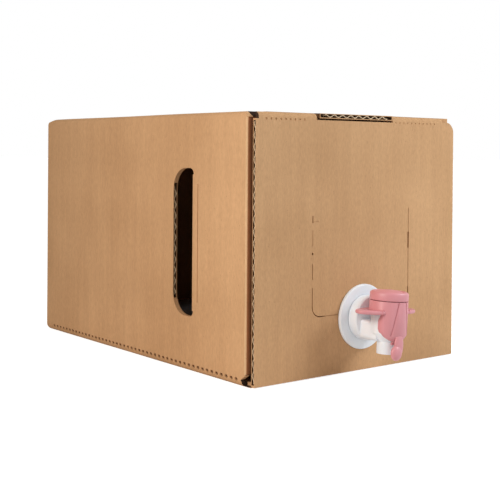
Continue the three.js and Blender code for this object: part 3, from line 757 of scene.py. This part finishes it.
# %% [markdown]
# ## Helpers for materials
#
# All patterns lie on object coordinates, so they need no unwrapping. A noise gives a value, a ramp turns the
# value into a colour, and a bump turns it into a very fine relief.

# %% Material helpers
bump_height = 0.0001


def new_material(name):
    """A new material, with its nodes, its links and its main shader."""
    material = bpy.data.materials.new(name)
    material.use_nodes = True
    nodes = material.node_tree.nodes
    return material, nodes, material.node_tree.links, nodes["Principled BSDF"]


def noise(nodes, links, scale, detail, rough=0.5, stretch=(1, 1, 1)):
    """Noise on object coordinates, drawn out along an axis where stretch is below one."""
    place = nodes.new("ShaderNodeTexCoord")
    mapping = nodes.new("ShaderNodeMapping")
    mapping.inputs["Scale"].default_value = stretch
    links.new(place.outputs["Object"], mapping.inputs["Vector"])
    texture = nodes.new("ShaderNodeTexNoise")
    texture.inputs["Scale"].default_value = scale
    texture.inputs["Detail"].default_value = detail
    texture.inputs["Roughness"].default_value = rough
    links.new(mapping.outputs["Vector"], texture.inputs["Vector"])
    return texture.outputs["Fac"]


def ramp(nodes, links, value, dark, light, low=0.0, high=1.0):
    """A colour that goes from dark to light while the value goes from low to high."""
    node = nodes.new("ShaderNodeValToRGB")
    node.color_ramp.elements[0].position = low
    node.color_ramp.elements[1].position = high
    node.color_ramp.elements[0].color = (*dark, 1)
    node.color_ramp.elements[1].color = (*light, 1)
    links.new(value, node.inputs["Fac"])
    return node.outputs["Color"]


def add_bump(nodes, links, shader, value, strength):
    """Give the surface a very fine relief that follows the value."""
    bump = nodes.new("ShaderNodeBump")
    bump.inputs["Strength"].default_value = strength
    bump.inputs["Distance"].default_value = bump_height
    links.new(value, bump.inputs["Height"])
    links.new(bump.outputs["Normal"], shader.inputs["Normal"])


# %% [markdown]
# ## Kraft board
#
# Brown kraft paper is matt and warm, with soft clouds of lighter and darker fibre, streaks and short fibres
# that run upright, small dark specks, and very faint broad bands, because board never takes the light quite
# evenly. Each is a pattern at its own scale, mixed by small amounts: strong noise looks like dirt. The medium
# seen in a cut edge is paler. A paler band along a fold is painted highlight, and board in slots, notches and
# gaps is drawn darker as painted shade.

# %% Kraft material
band_scale = 50 / flute_pitch


def kraft_material(name, colour):
    material, nodes, links, shader = new_material(name)
    shader.inputs["Roughness"].default_value = 0.86
    shader.inputs["Specular IOR Level"].default_value = 0.12

    def tinted(base, value, dark, light, low, high):
        """The base colour multiplied by a tint between dark and light."""
        node = nodes.new("ShaderNodeMix")
        node.data_type = "RGBA"
        node.blend_type = "MULTIPLY"
        node.inputs["Factor"].default_value = 1.0
        links.new(base, node.inputs["A"])
        links.new(ramp(nodes, links, value, dark, light, low, high), node.inputs["B"])
        return node.outputs["Result"]

    clouds = noise(nodes, links, 16, 3, 0.55, (1, 1, 0.55))
    streaks = noise(nodes, links, 260, 2, 0.55, (1, 1, 0.05))
    fibres = noise(nodes, links, 1100, 2, 0.6, (1, 1, 0.3))
    specks = noise(nodes, links, 1700, 1, 0.3, (1, 1, 0.7))
    place = nodes.new("ShaderNodeTexCoord")
    wave = nodes.new("ShaderNodeTexWave")
    wave.bands_direction = "Z"
    wave.inputs["Scale"].default_value = band_scale
    wave.inputs["Distortion"].default_value = 0.3
    links.new(place.outputs["Object"], wave.inputs["Vector"])
    bands = wave.outputs["Fac"]

    darker = tuple(c * (0.90 - 0.03 * i) for i, c in enumerate(colour))
    lighter = tuple(c * 1.05 for c in colour)
    base = ramp(nodes, links, clouds, darker, lighter, 0.32, 0.68)
    base = tinted(base, streaks, (0.955, 0.95, 0.945), (1.02, 1.02, 1.02), 0.3, 0.7)
    base = tinted(base, fibres, (0.90, 0.89, 0.87), (1.07, 1.07, 1.07), 0.25, 0.75)
    base = tinted(base, specks, (0.66, 0.6, 0.54), (1, 1, 1), 0.18, 0.27)
    base = tinted(base, bands, (0.985, 0.983, 0.98), (1.008, 1.008, 1.008), 0.0, 1.0)
    links.new(base, shader.inputs["Base Color"])

    relief = nodes.new("ShaderNodeMix")
    relief.data_type = "FLOAT"
    relief.inputs["Factor"].default_value = 0.3
    links.new(fibres, relief.inputs["A"])
    links.new(bands, relief.inputs["B"])
    add_bump(nodes, links, shader, relief.outputs["Result"], 0.12)
    return material


outer_kraft = kraft_material("kraft_outer", (0.60, 0.362, 0.192))
inner_kraft = kraft_material("kraft_inner", (0.42, 0.235, 0.115))
edge_kraft = kraft_material("kraft_cut_edge", (0.80, 0.62, 0.42))
# Painted shade: a dark kraft for the hollows of slots, notches and dents, where shade falls.
shaded_kraft = kraft_material("kraft_painted_slot_shade", (0.17, 0.09, 0.045))
# Painted shade: a darker, redder kraft for the side flap in the recess behind the front flap.
side_flap_shade_kraft = kraft_material("kraft_painted_shade_fold", (0.42, 0.17, 0.075))
# Painted shadow: a near-black kraft for cut faces deep in the gaps at the front left corner.
gap_shadow_kraft = kraft_material("kraft_painted_gap_shadow", (0.05, 0.03, 0.02))
# Painted highlight: a paler kraft for the band of a fold that faces the light.
fold_highlight_kraft = kraft_material("kraft_painted_fold_highlight", (0.70, 0.46, 0.26))
print("kraft materials made")

# %% [markdown]
# ## Where shade is painted on the board
#
# The faces inside a slot, a notch or a gap, where shade falls, get painted shade. They are found by where
# their middles lie.

# %% Tests for dark places
def in_flap_slot(middle, normal):
    return (flap_left + 0.1 < middle.x < flap_left + flute_depth + 0.1
            and front + liner - 0.01 < middle.y < front + board - liner + 0.01
            and edge_low - 0.1 < middle.z < edge_high + 0.1)


def in_hole_slot(middle):
    return (hole_back + 0.1 < middle.y < hole_back + flute_depth + 0.1
            and half_width - board + liner - 0.01 < abs(middle.x) < half_width - liner + 0.01
            and hole_edge_low - 0.1 < middle.z < hole_edge_high + 0.1)


def in_tongue_slot(middle):
    return (front + 0.1 < middle.y < front + flute_depth + 0.1
            and tongue_left < middle.x < tongue_right
            and height - board + liner - 0.01 < middle.z < height - liner + 0.01)


def in_base_notch(middle):
    return 2.9 < middle.z < 5.6 and half_width - 1.6 < abs(middle.x) < half_width - 0.45


def on_fold_end(middle, normal):
    return normal.x < -0.9 and near(middle.x, top_fold_left) and middle.z > top_crease - 0.2


def in_top_gap(middle, normal):
    return (normal.y < -0.9 and near(middle.y, gap_back) and middle.x < gap_right
            and middle.z > height - board - 0.4)


def in_nick(middle, normal):
    return (middle.x < nick_right + 0.1 and middle.y < nick_back + 0.3
            and nick_floor - 0.1 < middle.z < side_low + 1 and (normal.y < -0.9 or normal.z > 0.5))


# %% [markdown]
# ## Dressing the board
#
# Each piece gets its kraft, and is told which solid it replaces and what it rides on.

# %% Dress the board
def dress(piece, material):
    piece.data.materials.clear()
    piece.data.materials.append(material)


def line_with(piece, material, test):
    """Give the faces whose middle and normal pass the test one more material."""
    piece.data.materials.append(material)
    for face in piece.data.polygons:
        if test(face.center / mm, face.normal):
            face.material_index = len(piece.data.materials) - 1


for piece in (walls, *hand_tongues, flap, tuck, back_panel, side_flap):
    dress(piece, outer_kraft)
for piece in (base_flap, back_laps):
    dress(piece, inner_kraft)
# Painted shade on the side flap's faces that turn away from the left, in the gap behind the front flap.
line_with(side_flap, side_flap_shade_kraft, lambda middle, normal: normal.x > -0.45)
# Painted highlight on the faces of the side flap's fold that turn from the left side towards the front.
line_with(side_flap, fold_highlight_kraft, lambda middle, normal: -0.96 < normal.x < -0.45)
# Painted shadow on the cut end of the flap's top fold, in the corner gap.
line_with(flap, gap_shadow_kraft, on_fold_end)
# Painted shade in the slot round the flute strip of the flap's free edge.
line_with(flap, shaded_kraft, in_flap_slot)
# Painted shade in the hand hole and lock tongue slots and in the dents of the base creases.
line_with(walls, shaded_kraft, lambda middle, normal: (
    in_hole_slot(middle) or in_tongue_slot(middle) or in_base_notch(middle)))
# Painted shadow on the cut faces in the top gap and in the lower nick.
line_with(walls, gap_shadow_kraft, lambda middle, normal: in_top_gap(middle, normal) or in_nick(middle, normal))
for strip in flutes:
    dress(strip, edge_kraft)
carton_pieces = [walls, *hand_tongues, flap, tuck, side_flap, base_flap, back_panel, back_laps, *flutes]
for piece in carton_pieces:
    if piece not in flutes:
        smooth(piece, 28)
    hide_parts("carton")
    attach(piece, "root")
print("carton pieces:", len(carton_pieces))

# %% [markdown]
# ## Softening the moulded parts
#
# The tap is injection moulded: its solids have the right shape, but turned in flat facets with sharp edges.
# A copy of each solid is merged, its coplanar triangles dissolved, and its edges given a small bevel,
# because every moulded edge has a radius that catches the light.

# %% Moulded copies
bevel_steps = 2
bevel_angle = math.radians(34)


def moulded_copy(node, name, edge_radius=0.18):
    """A softened copy of one of the frame's solids."""
    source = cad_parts[node]
    piece = source.copy()
    piece.data = source.data.copy()
    for key in list(piece.keys()):
        if key.startswith("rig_"):
            del piece[key]
    piece.parent = None
    piece.name = name
    bpy.context.scene.collection.objects.link(piece)
    piece.hide_render = False
    only(piece)
    bpy.ops.object.mode_set(mode="EDIT")
    bpy.ops.mesh.select_all(action="SELECT")
    bpy.ops.mesh.remove_doubles(threshold=0.00001)
    bpy.ops.mesh.customdata_custom_splitnormals_clear()
    bpy.ops.mesh.dissolve_limited(angle_limit=math.radians(1.5))
    done()
    if edge_radius:
        apply_modifier(piece, "BEVEL", width=edge_radius * mm, segments=bevel_steps, limit_method="ANGLE",
                       angle_limit=bevel_angle, harden_normals=False)
    smooth(piece, 36)
    return piece


# %% [markdown]
# ## Plastics
#
# Moulded polyolefin is half glossy, a little uneven in colour and very finely grained. The pale parts let a
# little light in under the surface. The button, stem and plug ride on the moving body.

# %% Plastic materials
mottling = 0.03


def plastic_material(name, colour, roughness, specular, subsurface=0.0):
    material, nodes, links, shader = new_material(name)
    shader.inputs["Roughness"].default_value = roughness
    shader.inputs["Specular IOR Level"].default_value = specular
    if subsurface:
        shader.inputs["Subsurface Weight"].default_value = subsurface
        shader.inputs["Subsurface Radius"].default_value = (0.0015, 0.0012, 0.001)
        shader.inputs["Subsurface Scale"].default_value = 1.0
    darker = tuple(c * (1 - mottling) for c in colour)
    lighter = tuple(min(1, c * (1 + mottling)) for c in colour)
    clouds = noise(nodes, links, 120, 3)
    links.new(ramp(nodes, links, clouds, darker, lighter), shader.inputs["Base Color"])
    grain = noise(nodes, links, 3500, 2)
    add_bump(nodes, links, shader, grain, 0.08)
    return material


white_plastic = plastic_material("white_plastic", (0.82, 0.86, 0.91), 0.38, 0.45, 0.08)
natural_plastic = plastic_material("natural_plastic", (0.81, 0.86, 0.91), 0.42, 0.4, 0.1)
red_plastic = plastic_material("red_plastic", (0.655, 0.275, 0.305), 0.40, 0.45)
valve_rubber = plastic_material("valve_rubber", (0.70, 0.67, 0.62), 0.7, 0.2)

moulded = {
    "gland": ("dressed_gland", natural_plastic, "natural_plastic", "root"),
    "tap_body": ("dressed_tap_body", white_plastic, "white_plastic", "root"),
    "tap_grip": ("dressed_tap_grip", red_plastic, "red_plastic", "root"),
    "cap_ring": ("dressed_cap_ring", red_plastic, "red_plastic", "root"),
    "press_button": ("dressed_press_button", red_plastic, "red_plastic", "button"),
    "valve_stem": ("dressed_valve_stem", white_plastic, "white_plastic", "button"),
    "valve_plug": ("dressed_valve_plug", valve_rubber, "valve_rubber", "button"),
}
for node, (name, material, slot, body) in moulded.items():
    piece = moulded_copy(node, name)
    dress(piece, material)
    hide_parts(node)
    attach(piece, body)
print("moulded pieces:", len(moulded))

# %% [markdown]
# ## Finger wings and pull tab
#
# On the real grip the two finger wings are one brim shaped like a flat ellipse, thin at its tips, and the
# pull tab is a short stem with a soft bulb. The plain ones are cut off the copy and new ones are joined on by
# a Boolean union. They are made upright at the origin and then turned with the tap by a few degrees.

# %% Tap axes
grip = bpy.data.objects["dressed_tap_grip"]
tap_turn = math.radians(4)
tap_frame = Matrix.Translation(Vector((tap_x, front, tap_height)) * mm) @ Matrix.Rotation(tap_turn, 4, "Y")


def into_tap(piece):
    piece.matrix_world = tap_frame
    return settle(piece)


def unite(piece, other):
    """Add the other shape to the piece, so that both are one solid."""
    apply_modifier(piece, "BOOLEAN", operation="UNION", solver="EXACT", object=other)
    bpy.data.objects.remove(other, do_unlink=True)


def round_solid(name, radii, middle):
    bpy.ops.object.select_all(action="DESELECT")
    bpy.ops.mesh.primitive_uv_sphere_add(segments=32, ring_count=20, radius=mm)
    piece = bpy.context.object
    piece.name = name
    piece.scale = radii
    settle(piece)
    piece.location = Vector(middle) * mm
    return settle(piece)


# %% Wings and pull tab
barrel_y = -21.2
sleeve_middle_radius = 10.6
sleeve_outer_radius = 11.1
brim_half_width = 22.4
brim_half_depth = 9.6
brim_sweep = 2.0
brim_low, brim_high = 4.3, 6.5
brim_edge = 0.9
tab_y = -31.3

for side in (-1, 1):
    x_near, x_far = sorted((side * (sleeve_outer_radius + hair), side * 40))
    cut(grip, into_tap(add_block("wing_off", (x_near, -50, 2), (x_far, 10, 9))))
cut(grip, into_tap(add_block("tab_off", (-12, -40, -40), (12, -10, -12.6))))

brim = add_rod("brim", 1, (0, 0, 0), brim_high - brim_low, "Z", 96)
brim.scale = (brim_half_width, brim_half_depth, 1)
brim.location = Vector((0, barrel_y + brim_sweep, (brim_low + brim_high) / 2)) * mm
settle(brim)
round_edges(brim, lambda a, b: near(a.z, b.z, 0.01), brim_edge, 4)
cut(brim, add_rod("sleeve_bore", sleeve_middle_radius, (0, barrel_y, 5), 30, "Z", 96))
unite(grip, into_tap(brim))

stem = round_solid("tab_stem", (3.4, 1.5, 7.0), (-0.7, tab_y, -12.8))
unite(stem, round_solid("tab_bulb", (3.9, 2.3, 4.4), (-2.3, tab_y, -16.6)))
unite(grip, into_tap(stem))
smooth(grip, 36)
print("grip:", len(grip.data.polygons), "faces")

# %% [markdown]
# ## The bag
#
# An empty bag is two plies of laminated film that lie slack on the base, creased wherever they were folded,
# and drawn up at the mouth to the gland. A copy of the plain solid is divided finely and creased by two
# Displace modifiers: long soft folds and short sharp ones. The film is dull and grey, with a faint haze.

# %% Bag
film_mesh = 2.2
fold_depth = 5.0
sharp_depth = 1.8
bag = moulded_copy("bag", "slack_bag", 0)
apply_modifier(bag, "REMESH", mode="VOXEL", voxel_size=film_mesh * mm)
folds = bpy.data.textures.new("bag_folds", "CLOUDS")
folds.noise_scale = 0.045
folds.noise_depth = 2
creases = bpy.data.textures.new("bag_creases", "VORONOI")
creases.noise_scale = 0.02
creases.distance_metric = "DISTANCE"
creases.weight_1 = -1.0
creases.weight_2 = 1.0
apply_modifier(bag, "DISPLACE", texture=folds, strength=-fold_depth * mm, mid_level=0.3,
               direction="NORMAL", texture_coords="LOCAL")
apply_modifier(bag, "DISPLACE", texture=creases, strength=-sharp_depth * mm, mid_level=0.0,
               direction="NORMAL", texture_coords="LOCAL")
smooth(bag, 60)


def film_material(name):
    material, nodes, links, shader = new_material(name)
    shader.inputs["Metallic"].default_value = 0.55
    shader.inputs["Roughness"].default_value = 0.32
    haze = noise(nodes, links, 60, 4)
    tint = ramp(nodes, links, haze, (0.42, 0.44, 0.46), (0.60, 0.62, 0.64))
    links.new(tint, shader.inputs["Base Color"])
    return material


dress(bag, film_material("bag_film"))
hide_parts("bag")
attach(bag, "root")
print("bag:", len(bag.data.polygons), "faces")

# %% [markdown]
# ## Floor
#
# The carton stands on a white sheet in soft light. The sheet is a plain matt floor; a little glow seen only
# by the camera lifts it to white and leaves the soft shadow under the carton.

# %% Floor
glow_level = 0.74
bpy.ops.object.select_all(action="DESELECT")
bpy.ops.mesh.primitive_plane_add(size=40, location=(0, 0, 0))
floor = bpy.context.object
floor.name = "floor"
floor_material, floor_nodes, floor_links, floor_shader = new_material("floor_white")
floor_shader.inputs["Base Color"].default_value = (0.82, 0.82, 0.82, 1)
floor_shader.inputs["Roughness"].default_value = 0.9
floor_shader.inputs["Specular IOR Level"].default_value = 0.1
floor_path = floor_nodes.new("ShaderNodeLightPath")
floor_glow = floor_nodes.new("ShaderNodeEmission")
floor_glow.inputs["Color"].default_value = (1, 1, 1, 1)
floor_glow_strength = floor_nodes.new("ShaderNodeMath")
floor_glow_strength.operation = "MULTIPLY"
floor_glow_strength.inputs[1].default_value = glow_level
floor_links.new(floor_path.outputs["Is Camera Ray"], floor_glow_strength.inputs[0])
floor_links.new(floor_glow_strength.outputs["Value"], floor_glow.inputs["Strength"])
floor_sum = floor_nodes.new("ShaderNodeAddShader")
floor_links.new(floor_shader.outputs["BSDF"], floor_sum.inputs[0])
floor_links.new(floor_glow.outputs["Emission"], floor_sum.inputs[1])
floor_links.new(floor_sum.outputs["Shader"], floor_nodes["Material Output"].inputs["Surface"])
dress(floor, floor_material)
print("floor laid")

# %% [markdown]
# ## World
#
# A pale, slightly warm sky gives soft light from all round. The camera, and whatever shines or lets light
# through, sees plain white paper in its place.

# %% World
world = bpy.data.worlds.new("studio")
bpy.context.scene.world = world
world.use_nodes = True
world_nodes, world_links = world.node_tree.nodes, world.node_tree.links
sky = world_nodes["Background"]
sky.inputs["Color"].default_value = (1.0, 0.985, 0.96, 1)
sky.inputs["Strength"].default_value = 0.34
paper = world_nodes.new("ShaderNodeBackground")
paper.inputs["Color"].default_value = (1, 1, 1, 1)
paper.inputs["Strength"].default_value = 1.0
world_path = world_nodes.new("ShaderNodeLightPath")
either = world_nodes.new("ShaderNodeMath")
either.operation = "MAXIMUM"
world_links.new(world_path.outputs["Is Camera Ray"], either.inputs[0])
world_links.new(world_path.outputs["Is Glossy Ray"], either.inputs[1])
any_seen = world_nodes.new("ShaderNodeMath")
any_seen.operation = "MAXIMUM"
world_links.new(either.outputs["Value"], any_seen.inputs[0])
world_links.new(world_path.outputs["Is Transmission Ray"], any_seen.inputs[1])
world_mix = world_nodes.new("ShaderNodeMixShader")
world_links.new(any_seen.outputs["Value"], world_mix.inputs["Fac"])
world_links.new(sky.outputs["Background"], world_mix.inputs[1])
world_links.new(paper.outputs["Background"], world_mix.inputs[2])
world_links.new(world_mix.outputs["Shader"], world_nodes["World Output"].inputs["Surface"])
print("world set")

# %% [markdown]
# ## Lamps
#
# A warm lamp from the left lights the long wall, and a broad, slightly cool lamp from the front right lights
# the front. Both are disks, so the shadows have soft edges.

# %% Lamps
def add_lamp(name, place, target, size, power, colour, spread=180):
    """A round lamp at a place that looks at its target, in metres."""
    bpy.ops.object.light_add(type="AREA", location=place)
    lamp = bpy.context.object
    lamp.name = name
    lamp.data.shape = "DISK"
    lamp.data.size = size
    lamp.data.energy = power
    lamp.data.color = colour
    lamp.data.spread = math.radians(spread)
    lamp.rotation_euler = (Vector(target) - Vector(place)).to_track_quat("-Z", "Y").to_euler()
    return lamp


add_lamp("left_lamp", (-0.85, -0.18, 0.50), (-0.08, -0.20, 0.09), 0.4, 1.02, (1.0, 0.90, 0.81), 75)
add_lamp("front_lamp", (0.44, -0.50, 0.46), (0.04, -0.12, 0.09), 0.34, 3.55, (0.922, 0.971, 1.0))
bpy.context.scene.view_settings.view_transform = "Standard"
print("lamps set")
